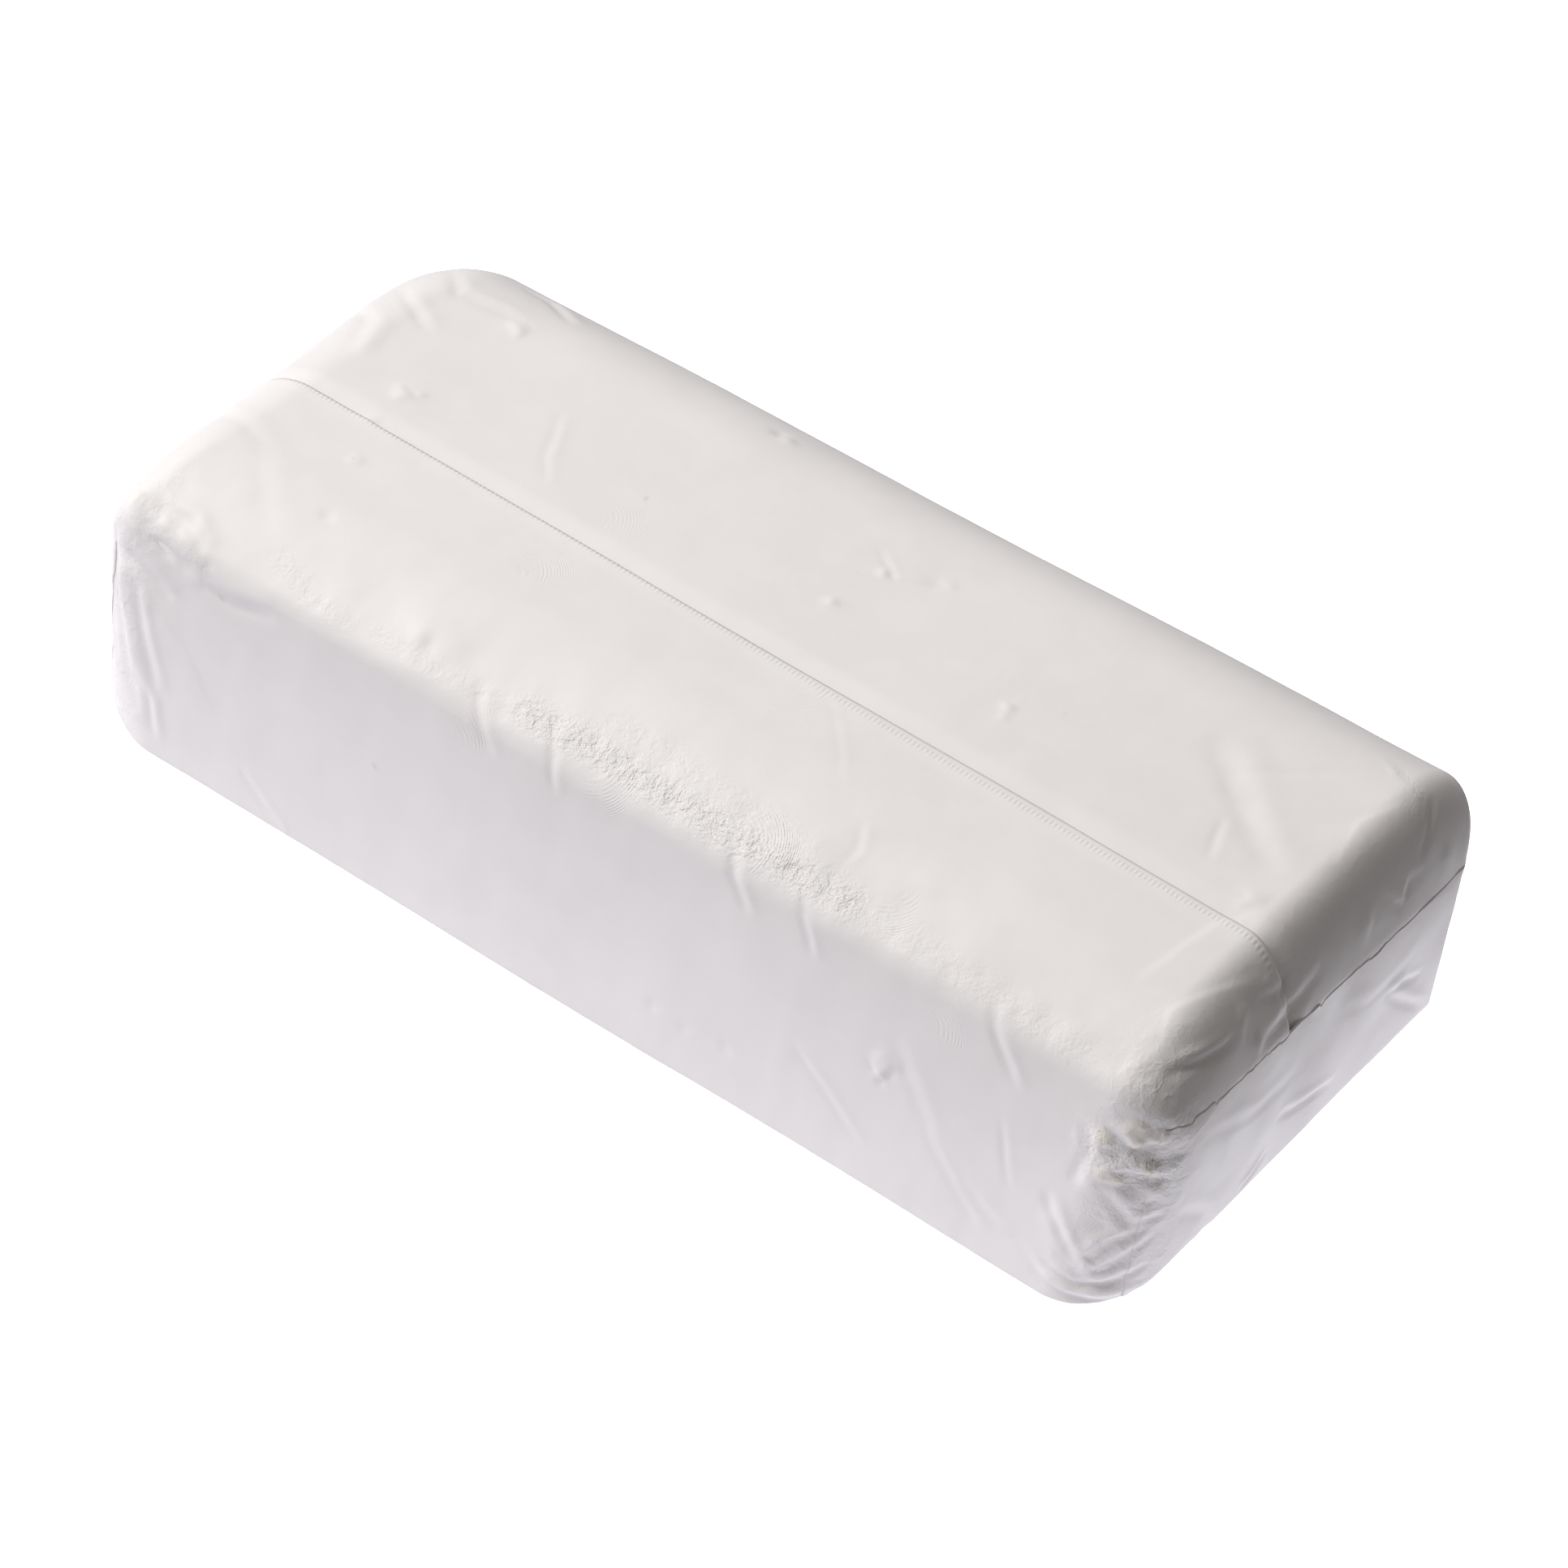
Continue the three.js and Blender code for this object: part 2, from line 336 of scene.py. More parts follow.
def film_material(name):
    """Thin matt white film: faint mottling, orange peel, pits with painted shade in their pores, fingerprints
    and a beaded lap edge.
    """
    g = Graph(name)
    cloud = g.spread(g.noise(26, 3), 0.35, 0.65)
    patch = g.spread(g.noise(6, 4), 0.38, 0.66)
    base = g.blend(cloud, (0.745, 0.732, 0.724, 1), (0.765, 0.752, 0.744, 1))
    base = g.blend(g.times(patch, 0.35), base, (0.785, 0.774, 0.768, 1))
    pits = g.attribute("pits")
    # Painted shade: the pores of the pitted stretches are darkened in colour, standing in for shade in the
    # pits.
    shaded_pore = g.times(g.spread(g.noise(0.55, 2), 0.62, 0.75), pits)
    base = g.blend(g.times(shaded_pore, 0.25), base, (0.69, 0.66, 0.635, 1))
    base = g.blend(g.attribute("cream"), base, (0.79, 0.765, 0.70, 1))
    base = g.blend(g.attribute("dirt"), base, (0.62, 0.60, 0.60, 1))
    g.set(g.shader.inputs["Base Color"], base)

    smear = g.spread(g.noise(9, 3), 0.4, 0.7, 0.0, 0.12)
    gloss = g.times(g.attribute("gloss"), -0.24)
    rough = g.math("ADD", g.math("ADD", smear, 0.56), gloss)
    g.set(g.shader.inputs["Roughness"], rough)
    g.shader.inputs["Specular IOR Level"].default_value = 0.35
    g.shader.inputs["IOR"].default_value = 1.46

    creased = g.bump(g.ridges_of(2.6, 3, 0.06), 0.025, g.bump(g.ridges_of(5.5, 4, 0.07), 0.04))
    peel = g.bump(g.noise(1.6, 3, 0.55), 0.014, creased)
    grain = g.bump(g.noise(0.36, 2, 0.6), 0.004, peel)
    pitted = g.bump(g.pits_of(1.15, 0.42, 0.62, 3, pits), 0.09, grain)
    pitted = g.bump(g.pits_of(0.5, 0.40, 0.60, 2, pits), 0.045, pitted)
    broken = g.spread(g.noise(1.3, 2), 0.40, 0.60)
    ridges = g.times(g.wave("print_phase", "print_mask"), broken)
    printed = g.bump(ridges, 0.016, pitted)
    beads = g.wave("bead_phase", "bead_mask")
    g.links.new(g.bump(beads, 0.022, printed), g.shader.inputs["Normal"])
    return g.material


def chalk_material(name):
    """Pressed magnesium carbonate: a dry, powdery white with pores darkened by painted shade, scuffs and
    loose grains.
    """
    g = Graph(name)
    cloud = g.spread(g.noise(14, 4), 0.35, 0.65)
    base = g.blend(cloud, (0.83, 0.825, 0.81, 1), (0.88, 0.875, 0.865, 1))
    # Painted shade: the pores are darkened in colour, standing in for shade in them; the same pattern also
    # bumps the surface.
    shaded_pore = g.spread(g.noise(0.8, 3, 0.6), 0.60, 0.74)
    base = g.blend(g.times(shaded_pore, 0.4), base, (0.70, 0.69, 0.675, 1))
    grain = g.spread(g.cells(0.7), 0.05, 0.22, 1.0, 0.0)
    base = g.blend(g.times(grain, 0.3), base, (0.93, 0.928, 0.92, 1))
    g.set(g.shader.inputs["Base Color"], base)
    g.set(g.shader.inputs["Roughness"], g.spread(g.noise(3, 2), 0.3, 0.7, 0.88, 1.0))
    g.shader.inputs["Specular IOR Level"].default_value = 0.2
    g.shader.inputs["Sheen Weight"].default_value = 0.15
    g.shader.inputs["Sheen Roughness"].default_value = 0.6
    lumps = g.bump(g.noise(2.4, 4, 0.6), 0.12)
    powder = g.bump(g.noise(0.35, 3, 0.7), 0.05, lumps)
    g.links.new(g.bump(shaded_pore, 0.12, powder), g.shader.inputs["Normal"])
    return g.material


# ---------------------------------------------------------------- curves and seeded noise


def lattice(ix, iy, iz, seed):
    """A fixed pseudo-random value from -1 to 1 for every point of a grid of whole numbers."""
    h = np.uint32(seed * 974634777 % 4294967296)
    for place, step in ((ix, 374761393), (iy, 668265263), (iz, 2246822519)):
        h = h + place.astype(np.uint32) * np.uint32(step)
    h = (h ^ (h >> np.uint32(13))) * np.uint32(1274126177)
    h = h ^ (h >> np.uint32(16))
    return h.astype(np.float64) / 2147483648.0 - 1.0


def noise(points, size, seed):
    """Smooth value noise from -1 to 1 with features about `size` millimetres across."""
    q = points / size
    cell = np.floor(q).astype(np.int64)
    f = q - cell
    w = f * f * f * (f * (6 * f - 15) + 10)
    total = np.zeros(len(points))
    for corner in itertools.product((0, 1), repeat=3):
        value = lattice(*(cell + corner).T, seed)
        total += np.prod(np.where(corner, w, 1 - w), axis=1) * value
    return total


def layered_noise(points, size, seed, layers=3):
    """Noise with finer and weaker noise added on top of it."""
    total = np.zeros(len(points))
    for k in range(layers):
        total += noise(points, size / 2**k, seed + 17 * k) / 2**k
    return total / (2 - 2 ** (1 - layers))


def away_from(middle, points):
    return np.linalg.norm(points - middle, axis=1)


def smooth(value, low, high):
    """0 below low, 1 above high, and a soft step between."""
    t = np.clip((value - low) / (high - low), 0, 1)
    return t * t * (3 - 2 * t)


def bell(value):
    """1 at 0, falling away softly to each side."""
    return np.exp(-(value**2))


# ---------------------------------------------------------------- the block's form


def span(start, end, step):
    return np.linspace(start, end, max(2, int(math.ceil(abs(end - start) / step)) + 1))


def arc(cy, cz, radius, start, end, step):
    count = max(3, int(math.ceil(abs(end - start) * radius / step)) + 1)
    angle = np.linspace(start, end, count)
    return cy + radius * np.cos(angle), cz + radius * np.sin(angle)


def crowned_corner(step):
    """The top corner from the flat of the top down to the side, as distances in from the side and up."""
    slope = CROWN_POWER * CROWN_DROP / CROWN_WIDTH
    tilt = math.atan(slope)
    radius = CROWN_EDGE / (1 - math.sin(tilt))
    t = span(0, 1, step / CROWN_WIDTH)
    ys = CROWN_EDGE + CROWN_WIDTH * (1 - t)
    zs = HEIGHT - CROWN_DROP * t**CROWN_POWER
    turn_y, turn_z = arc(0, 0, radius, math.pi / 2 - tilt, 0, step * 0.8)
    base = HEIGHT - CROWN_DROP - radius * math.cos(tilt)
    ys = np.concatenate([ys, (radius - turn_y)[1:]])
    zs = np.concatenate([zs, (base + turn_z)[1:]])
    return ys, zs


def section_path():
    """The sheet's path round the block: from its hidden edge under the lap, over the back side, under
    the block, up the front side and back to the visible edge of the lap."""
    half = math.pi / 2
    runs = []

    def straight(start, end, step):
        count = len(span(0, math.dist(start, end), step))
        runs.append((np.linspace(start[0], end[0], count), np.linspace(start[1], end[1], count)))

    def foot_corner(hand, start, end, step):
        runs.append(arc(hand * (HALF_WIDTH - FOOT_ROUND), FOOT_ROUND, FOOT_ROUND, start, end, step))

    slope_start = LAP_Y + LAP_GAP
    edge = CROWN_EDGE + CROWN_WIDTH
    back_y, back_z = crowned_corner(FINE * 1.3)
    front_y, front_z = crowned_corner(FINE * 1.1)
    straight((LAP_Y - LAP_UNDER, HEIGHT), (slope_start - 0.3, HEIGHT), COARSE)
    straight((slope_start - 0.3, HEIGHT), (HALF_WIDTH - edge, HEIGHT), FINE)
    runs.append((HALF_WIDTH - back_y, back_z))
    straight((HALF_WIDTH, back_z[-1]), (HALF_WIDTH, FOOT_ROUND), MEDIUM)
    foot_corner(1, 0, -half, FINE / 2)
    straight((HALF_WIDTH - FOOT_ROUND, 0), (-HALF_WIDTH + FOOT_ROUND, 0), COARSE)
    foot_corner(-1, -half, -2 * half, FINE / 2)
    straight((-HALF_WIDTH, FOOT_ROUND), (-HALF_WIDTH, front_z[-1]), FINE)
    runs.append((front_y[::-1] - HALF_WIDTH, front_z[::-1]))
    straight((-HALF_WIDTH + edge, HEIGHT), (LAP_Y, HEIGHT), FINE)
    ys, zs = (np.concatenate([runs[0][i]] + [run[i][1:] for run in runs[1:]]) for i in (0, 1))
    first = len(runs[0][0])
    depth = np.zeros(len(ys))
    slope = smooth(ys, slope_start, slope_start + LAP_SLOPE)
    before_back = np.arange(len(ys)) < first + len(runs[1][0])
    depth[before_back] = LAP_DEPTH * (1 - slope[before_back])
    return ys, zs, depth


def side_of(end):
    return 1 if end == "right" else -1


def corner_round(end, y, z):
    """Rounding of the upright corner on the same side as y, at height z."""
    level = np.clip(z / HEIGHT, 0, 1)
    (front_top, front_foot), (back_top, back_foot) = CORNER_ROUND[(end, "front")], CORNER_ROUND[(end, "back")]
    at_front = front_foot + (front_top - front_foot) * level
    return np.where(y < 0, at_front, back_foot + (back_top - back_foot) * level)


def lap_shift(x):
    """How far the lap's edge lies toward the front at x."""
    return LAP_SWING * np.tanh(x / LAP_SWING_OVER)


def out_of_square(points):
    """Moves points of the true box's frame by the corner offsets, blended across the block."""
    size = np.array([2 * HALF_LENGTH, 2 * HALF_WIDTH, HEIGHT])
    t = np.clip((points + (HALF_LENGTH, HALF_WIDTH, 0)) / size, 0, 1)
    moved = points.copy()
    for corner, offset in CORNER_OFFSET.items():
        weight = np.prod(np.where(corner, t, 1 - t), axis=1)
        moved += weight[:, None] * np.array(offset, float)
    near_lap = bell((points[:, 1] - LAP_Y) / 12)
    near_lap *= smooth(points[:, 2], HEIGHT * 0.4, HEIGHT * 0.6)
    moved[:, 1] -= lap_shift(points[:, 0]) * near_lap
    return moved


def on_form(ys, zs, end, angle):
    """Points of the block's form where the end's rounding has turned by `angle`, for the path (ys, zs)."""
    outward = np.clip(np.abs(ys) / HALF_WIDTH, 0, 1)
    radius = corner_round(end, ys, zs)
    across = END_ROUND_X[end]
    reach = across + (radius - across) * outward**3
    on_top = smooth(zs, HEIGHT * 0.55, HEIGHT * 0.85) * (1 - outward**3)
    full = math.pi / 2 + (END_TURN[end] - math.pi / 2) * on_top
    turned = full * angle / (math.pi / 2)
    inward = (1 - np.cos(turned)) / (1 - np.cos(full))
    near, far = END_DROP[end]
    drop = near + (far - near) * (ys + HALF_WIDTH) / (2 * HALF_WIDTH)
    side = side_of(end)
    x = side * (HALF_LENGTH - reach * (1 - np.sin(turned) / np.sin(full)))
    y = ys - np.sign(ys) * radius * outward**2 * inward
    level = np.clip(zs / HEIGHT, 0, 1)
    z = zs - drop * level**2 * inward + END_LIFT * (1 - level) ** 2 * inward
    return out_of_square(np.stack([x, y, z], 1))


def turned_in(rim, distance, sink, side):
    """The rim moved in over the end by a distance, and back under its own face by a little."""
    inward = np.stack([0 * rim[:, 0], -rim[:, 1], HEIGHT * 0.42 - rim[:, 2]], 1)
    inward /= np.linalg.norm(inward, axis=1, keepdims=True)
    return rim + inward * distance - np.array([side * sink, 0, 0])


def form_grid(ys, zs, last_angle, step=FINE, turn_in=()):
    """Rows of points along the length, each row once round the path, from the left rim to the right."""
    turn_steps = int(math.ceil(last_angle * 8 / step))
    angles = np.linspace(0, last_angle, turn_steps + 1)
    left = [on_form(ys, zs, "left", a) for a in angles[::-1]]
    right = [on_form(ys, zs, "right", a) for a in angles]
    extra = len(turn_in)
    for distance, sink in turn_in:
        left.insert(0, turned_in(left[-1 - turn_steps], distance, sink, -1))
        right.append(turned_in(right[turn_steps], distance, sink, 1))
    steps = int(math.ceil(2 * (HALF_LENGTH - END_ROUND_X["left"]) / step))
    steps += (-(2 * (turn_steps + extra) + steps)) % INNER_SKIP
    middle = [left[-1] + (right[0] - left[-1]) * k / steps for k in range(1, steps)]
    return np.array(left + middle + right)


def relief_over(grid, normals):
    return relief(grid.reshape(-1, 3), normals.reshape(-1, 3)).reshape(grid.shape[:2])


def grid_normals(grid):
    along = np.gradient(grid, axis=0)
    around = np.gradient(grid, axis=1)
    n = np.cross(along, around)
    length = np.linalg.norm(n, axis=2, keepdims=True)
    return n / np.maximum(length, 1e-9)


# ---------------------------------------------------------------- relief
#
# Every mark is a line or a spot on the block's surface, in millimetres.


class Line:
    """Distances from points to a polyline, with the place along it and the side of it."""

    def __init__(self, points, normals, corners, reach):
        self.corners = np.array(corners, float)
        low = self.corners.min(0) - reach
        high = self.corners.max(0) + reach
        self.index = np.nonzero(np.all((points >= low) & (points <= high), axis=1))[0]
        p = points[self.index]
        n = normals[self.index]
        best = np.full(len(p), 1e9)
        self.place = np.zeros(len(p))
        self.side = np.zeros(len(p))
        lengths = np.linalg.norm(np.diff(self.corners, axis=0), axis=1)
        total = max(lengths.sum(), 1e-9)
        run = 0.0
        for a, b, length in zip(self.corners[:-1], self.corners[1:], lengths):
            t = np.clip(((p - a) @ (b - a)) / length**2, 0, 1)
            nearest = a + t[:, None] * (b - a)
            gap = p - nearest
            distance = np.linalg.norm(gap, axis=1)
            closer = distance < best
            across = np.cross((b - a) / length, n)
            side = np.einsum("ij,ij->i", gap, across)
            best = np.where(closer, distance, best)
            self.place = np.where(closer, (run + t * length) / total, self.place)
            self.side = np.where(closer, side, self.side)
            run += length
        self.distance = best

    def fade(self, power=0.6):
        return np.clip(4 * self.place * (1 - self.place), 0, 1) ** power


def swell(points, normals):
    """A slow departure from the plain form: the rounded edge over the left end is fuller behind."""
    left_edge = 2 * np.clip(-normals[:, 0], 0, 1) * np.clip(normals[:, 2], 0, 1)
    return 0.5 * left_edge * bell((points[:, 1] - 16) / 9)


# Creases: the line, the half-width, the height of the ridge, the depth of the groove beside it and how far
# the groove's middle is from the ridge. A negative height and depth make a groove with a ridge beside it.
CREASES = (
    # Pinches across the front top edge.
    (((-22, -34, 37.4), (-19.4, -36.3, 34.5), (-17, -37.2, 31.6)), .9, .18, .22, 1.3),
    (((-11, -33.6, 38), (-8.7, -36.3, 34.5), (-7.4, -37.2, 31.2)), .8, .20, .22, 1.2),
    (((16.5, -34.4, 37.3), (18.8, -36.5, 34.2), (21.5, -37.5, 30.6)), .9, .24, .28, 1.4),
    (((27, -35, 36.8), (29.5, -37.1, 32.6), (31, -37.7, 29.6)), .7, .16, .18, 1.1),
    (((54.5, -35, 36.7), (57.5, -37.2, 32.7), (61, -38, 28.4)), .9, .20, .24, 1.4),
    # Long, thin and soft creases on the top.
    (((11, -8.8, 41.5), (17, -15, 41.5), (22.3, -22.2, 41.4)), .6, .035, .035, .9),
    (((27.7, -25.1, 41.1), (29.6, -29, 40.2), (29.1, -32.1, 38.9)), .6, .07, .07, .9),
    (((52, 20, 42.8), (59, 13.1, 42.8), (70.5, 2.8, 42.7)), 2.4, .20, .22, 3.6),
    (((53.5, 13, 42.7), (59.5, 18.3, 43), (68.1, 26.3, 43.3)), .7, .10, .08, 1.0),
    (((59.5, 5.6, 42.6), (60.6, 1.5, 42.5), (62, -1.9, 42.4)), .7, .14, .12, 1.0),
    (((-20, 9, 41), (2, 15, 41.4), (14, 16.5, 41.8)), 1.4, .06, .05, 2.0),
    (((-44, 12, 40.6), (-40, 3, 40.8), (-37, -1, 40.9)), .7, .07, .06, 1.0),
    (((0, 18.5, 41.6), (4.5, 15.2, 41.6), (10, 18.2, 41.8)), .6, .10, .10, .9),
    (((-66, -19, 40.4), (-62, -24, 40), (-56, -30, 39)), 1.6, .08, .08, 2.4),
    # Soft creases round the left end of the top.
    (((-77.7, 16.9, 35.9), (-72.1, 10.3, 39.6), (-69.9, 2.3, 40.1)), 1.3, .24, .22, 2.0),
    (((-77, 25, 34), (-71.5, 17.5, 39.4), (-66, 14, 40)), 1.1, .18, .20, 1.8),
    (((-74, 30, 35), (-68.5, 24.1, 39.4), (-60, 25.4, 39.6)), 1.2, .20, .18, 1.9),
    (((-66, 33.6, 36), (-61, 33.7, 36.2), (-55, 30, 38.6)), 1.0, .20, .20, 1.6),
    (((-78.6, -12, 35), (-74, -16, 38.8), (-66, -19, 40.2)), 1.3, .14, .14, 2.0),
    # Along the top edge of the right end.
    (((75.4, -32.5, 37.9), (77.6, -25.8, 37.6), (78.3, -20.4, 37.3)), .8, .40, .36, 1.3),
    (((77.2, -14.5, 38.7), (78.4, -10, 37.1), (77.7, -6.2, 38.3)), .7, .32, .30, 1.1),
    (((79.3, -16.6, 33.5), (79.2, -9, 34.2), (78.7, -1, 35.8)), 1.0, .22, .28, 1.6),
    (((76.2, 29.6, 40.5), (78.3, 26, 37.6), (79.1, 23.3, 35.3)), .9, .26, .26, 1.4),
    (((78.7, 14.9, 36.5), (79.3, 17.4, 33.9), (78.9, 19.4, 35.9), (79.1, 23.3, 35.3)), .8, .30, .28, 1.2),
    (((66.5, 31, 42), (68.2, 30.2, 42.8), (71.5, 27.4, 43)), .8, -.30, -.16, 1.3),
    # Folds and lumps at the front left corner.
    (((-74.6, -35.4, 33), (-75.2, -36.1, 23.2), (-72, -36.6, 14.9), (-68.2, -36.8, 6.2)), 1.3, .36, .42, 2.1),
    (((-71.5, -36.6, 26), (-70.3, -36.8, 21.2), (-66.2, -36.8, 11.7)), .9, .26, .30, 1.5),
    (((-77.4, -33.4, 26), (-77.8, -32.8, 16), (-75, -34.4, 8)), 1.1, .30, .34, 1.8),
    (((-70.8, -36.6, 13), (-67.5, -36.8, 9.4), (-66, -36.8, 3.4)), .8, .24, .28, 1.3),
    (((-76, -34, 35.8), (-71.8, -35.9, 35.4), (-66, -36, 34.4), (-60.9, -36.9, 32)), 1.3, .34, .40, 2.2),
    (((-72, -33.6, 38), (-66.5, -33.9, 37.9), (-62.5, -35.4, 36)), 1.0, .24, .22, 1.7),
    (((-63, -36.4, 32.4), (-58, -36.7, 32.6), (-52, -36.4, 33.8)), 1.2, .24, .30, 2.0),
    (((-73.6, -36.4, 31), (-70, -36.9, 29.4), (-66, -37, 27.4)), 1.1, .26, .30, 1.8),
    # Diagonal creases, scratches and star tears on the front.
    (((30.5, -37.9, 15.4), (36, -38.1, 11.6), (42, -38.4, 6.8)), .8, .20, .22, 1.2),
    (((-53, -36.8, 7), (-49, -36.9, 4), (-45.1, -37, 1.3)), .8, .20, .20, 1.3),
    (((-1, -37.5, 22.2), (18, -37.7, 21), (34, -37.8, 21.6), (50, -37.9, 22.3)), .6, .04, .05, .9),
    (((40.6, -37.9, 19.6), (43.6, -38, 17)), .6, .20, .16, .9),
    (((41.2, -38, 16.4), (42.2, -38, 18.2), (43.2, -37.9, 20.4)), .6, .20, .16, .9),
    (((56, -38.4, 10.4), (62, -38.7, 7.6), (69.4, -38.9, 5.4)), 1.0, .24, .24, 1.5),
    (((59.6, -38, 22.4), (60.8, -38.2, 18), (62.7, -38.5, 12.6)), .6, .08, .12, .9),
    (((50, -38.2, 15), (54, -38.3, 11), (60, -38.6, 5)), .9, .10, .12, 1.5),
    (((44, -37.8, 26), (49, -38, 19), (52, -38.2, 14)), 1.2, .10, .10, 2.0),
    # The torn near corner and the folds below it.
    (((70.6, -37.9, 29), (72, -37.9, 24.6), (71, -38, 18)), 1.0, .15, .22, 1.6),
    (((73, -37.6, 30.6), (75.6, -36.4, 28.4), (77.7, -34.7, 29.6)), .9, .40, .40, 1.4),
    (((72.6, -37.8, 23.4), (75.9, -36.3, 24.6), (79, -31.6, 23.4)), .9, .36, .40, 1.5),
    (((74.6, -37.2, 20.6), (77.4, -35.1, 16.4), (79, -32, 17.4)), .9, .30, .36, 1.5),
    (((67.6, -38.2, 16), (72.7, -38.1, 9.2), (75.5, -36.8, 13.1), (78.1, -34.1, 15.9)), .9, .38, .42, 1.5),
    (((70, -38.7, 8.6), (73.7, -38, 6.7), (76.8, -35.7, 10.4), (78.6, -33.1, 13.4)), .8, .34, .38, 1.3),
    (((68.6, -38.9, 6.4), (73.2, -38.1, 5.2), (76.6, -35.9, 6.6), (78.8, -32.6, 8.8)), .8, .36, .42, 1.3),
    (((67.4, -38.9, 4.2), (72.6, -38, 3), (76.4, -35.4, 3.4), (78.6, -31.6, 4.6)), .8, .34, .40, 1.3),
    # Creases on the right end.
    (((79.6, -6.6, 16), (79.4, 1, 13.4), (79.3, 8.6, 11.2)), 1.0, .26, .28, 1.6),
    (((79.5, -13, 7), (79.5, -10.5, 7.8), (79.4, -7.7, 10)), .8, .24, .24, 1.3),
    (((79.2, 18.6, 19), (79.1, 23.2, 17.6), (78.9, 28.6, 15.2)), .9, .22, .28, 1.4),
    (((79.2, 18.6, 19), (79, 26, 12.4), (78.7, 33.3, 6.8)), .9, .26, .28, 1.5),
    (((79.5, -26, 27), (79.6, -14, 22), (79.5, -4, 22.6)), 1.3, .12, .14, 2.2),
    (((79.4, 4, 26), (79.3, 14, 21.6), (79.1, 25, 22)), 1.2, .09, .09, 2.0),
    (((79.6, -28, 16), (79.6, -20, 10), (79.5, -16, 3)), 1.2, .14, .16, 2.0),
)

# Edges of shallow terraces, one side a little higher than the other: the line and the step.
STEPS = (
    (
        ((66, -26, 41.2), (66.7, -21.9, 41.8), (67.1, -17.2, 42), (68, -11.5, 42.2), (70.9, -5.1, 42.4)),
        .13,
    ),
    (
        (
            (71.4, -35.4, 36.6), (73.3, -31.1, 39.2), (71.5, -27.2, 40.9),
            (73.9, -20.4, 41.2), (76.2, -13.3, 39.9),
        ),
        .15,
    ),
    (((73, 8, 42.4), (71, 16, 43), (74, 24, 42.6)), .10),
    (((-70, -36.9, 24), (-64, -37, 20), (-58, -37, 12)), .10),
)

# Bumps and dents: middle, radius, height.
BUMPS = (
    ((-61.1, .1, 40.3), 1.2, .34), ((-59.4, 1.6, 40.3), .8, .24), ((-59.2, 21.5, 39.9), 1.1, .34),
    ((-33.4, -32.9, 38.3), 1.2, .18), ((-31.2, -33.6, 37.8), .9, -.14), ((28.3, 3.7, 42), .9, .30),
    ((28.8, 1.8, 42), .7, .26), ((2.7, 14.4, 41.5), .7, .24), ((10.2, 18.2, 41.8), .9, .24),
    ((1.2, 5.1, 41.5), .8, .28), ((-23.4, 29.4, 39.8), 1.2, -.24), ((-21.6, 28.6, 40), .9, .2),
    ((68.9, -4.2, 42.5), 1.0, .32), ((68.4, -6.2, 42.4), .8, .24), ((-57.5, -14.7, 40.6), .9, .16),
    ((-53.5, -25.5, 40.5), .9, -.16), ((-61.1, -6.7, 40.4), .8, .20), ((9, 17, 41.8), 2.2, -.12),
    ((78.2, -18.8, 37.4), 1.3, .42), ((79.6, -16.2, 33), 1.4, .36), ((77.6, -12.4, 38.4), 1.2, .36),
    ((-78, -32.3, 33.7), 1.7, .42), ((-74.9, -34.8, 36.1), 1.5, .36), ((-71.8, -35.8, 35), 1.2, -.42),
    ((-66.2, -35.7, 35.5), 2.0, .26), ((-62.1, -36.6, 33.4), 1.3, -.30), ((-74.3, -36.6, 27.9), 1.8, -.50),
    ((-69, -36.4, 32.6), 1.4, -.34), ((-76.8, -33.8, 30.4), 1.3, -.36), ((-64, -36.6, 31), 1.2, .24),
    ((10, -37.6, 8), .8, -.16), ((15, -37.6, 7.4), .7, -.14), ((21, -37.7, 8.2), .8, -.14),
    ((42, -38, 20.6), .9, .20), ((45, -38, 20), .8, -.16), ((73.6, -37.6, 26.4), 1.5, -.50),
    ((77, -35.4, 27), 1.4, -.46), ((76.4, -36, 21.6), 1.5, -.42), ((72, -37.9, 20), 1.2, .32),
    ((79, -32.4, 26), 1.3, -.34), ((68.8, -38.4, 12), 1.6, .26), ((78.4, -33.6, 20.6), 1.1, .32),
    ((74, -37.4, 14), 1.5, -.30), ((79.4, 29, 33), 1.3, .26), ((73.8, 26.8, 42.6), .8, .34),
    ((75.4, 25.4, 42), .8, -.30), ((79.2, 9, 34), 1.5, .20), ((-78.4, 4, 35), 1.6, .22),
)

# Chips of a creamier white, and specks of dirt: middle and radius.
CHIPS = (
    ((72, -37.8, 27.4), 1.4), ((77.7, -34.6, 29.6), 1.3), ((73.3, -37.7, 22.3), 1.2),
    ((74.8, -37.3, 22), 1.1), ((75.6, -36.4, 28.2), 1.2), ((77.4, -35, 24.6), 1.1),
    ((-74.9, -34.8, 36), 1.0), ((75.4, -36.8, 30.4), 1.6),
)
SPECKS = (
    ((73.9, -35.6, 35.3), .42), ((76.2, -30.6, 37.7), .38), ((-59.7, -37.1, 30.4), .38),
    ((-34.1, -37.1, 19), .34), ((-57.8, -14.8, 40.6), .36), ((34, 7.5, 42), .3), ((-27, 5, 41), .3),
)

